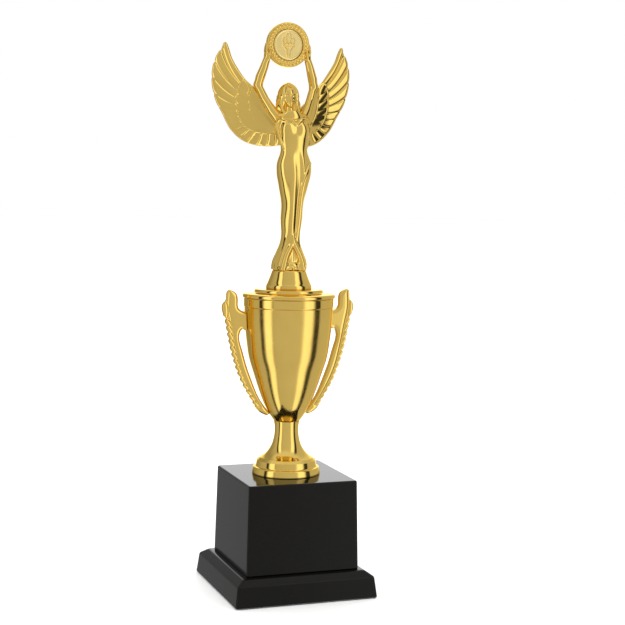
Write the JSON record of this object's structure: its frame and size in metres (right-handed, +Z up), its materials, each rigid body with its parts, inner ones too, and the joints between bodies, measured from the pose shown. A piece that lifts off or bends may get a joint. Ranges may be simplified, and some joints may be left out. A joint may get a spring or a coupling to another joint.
{
  "type": "figure trophy",
  "caption": "Covered cup trophy with leaf handles on a stepped black base; a winged figure on the lid holds a medallion overhead.",
  "frame": {"origin": "middle of the base on the surface it stands on, on the cup's axis", "axes": "+Z up along the cup's axis, the figure's front towards -Y, +X to the viewer's right"},
  "size_m": [0.12, 0.12, 0.4656],
  "materials": {
    "base_gloss_black": "glossy moulded black",
    "pad_rubber": "matte",
    "polished_gold": "vacuum-metallised bright gold under clear lacquer",
    "satin_gold": "vacuum-metallised gold over a fine satin grain",
    "zinc_steel": "zinc plated"
  },
  "bodies": {
    "cup_on_base": {"base_skirt": "base_gloss_black", "base_block": "base_gloss_black", "foot_pad_1": "pad_rubber", "foot_pad_2": "pad_rubber", "foot_pad_3": "pad_rubber", "foot_pad_4": "pad_rubber", "tie_rod": "zinc_steel", "lower_washer": "zinc_steel", "lower_nut": "zinc_steel", "cup_foot": "polished_gold", "cup_bowl": "satin_gold", "rim_band": "polished_gold", "upper_washer": "zinc_steel", "upper_nut": "zinc_steel", "right_handle": "polished_gold", "left_handle": "polished_gold", "right_retainer": "zinc_steel", "left_retainer": "zinc_steel"},
    "lid": {"lid": "polished_gold", "figure_bolt": "zinc_steel", "bolt_washer": "zinc_steel"},
    "figure": {"figure_pedestal": "polished_gold", "captive_nut": "zinc_steel", "figure_body": "polished_gold", "right_arm": "polished_gold", "left_arm": "polished_gold", "right_wing": "polished_gold", "left_wing": "polished_gold", "medallion_ring": "polished_gold", "front_insert": "satin_gold", "back_insert": "satin_gold"}
  },
  "joints": [
    {"name": "lid_lift", "type": "slide", "parent": "cup_on_base", "child": "lid", "axis": [0, 0, 1], "range_m": [0, 0.06]},
    {"name": "figure_turn", "type": "hinge", "parent": "lid", "child": "figure", "pos_m": [0, 0, 0.2562], "axis": [0, 0, 1], "range_deg": [0, 360]}
  ]
}
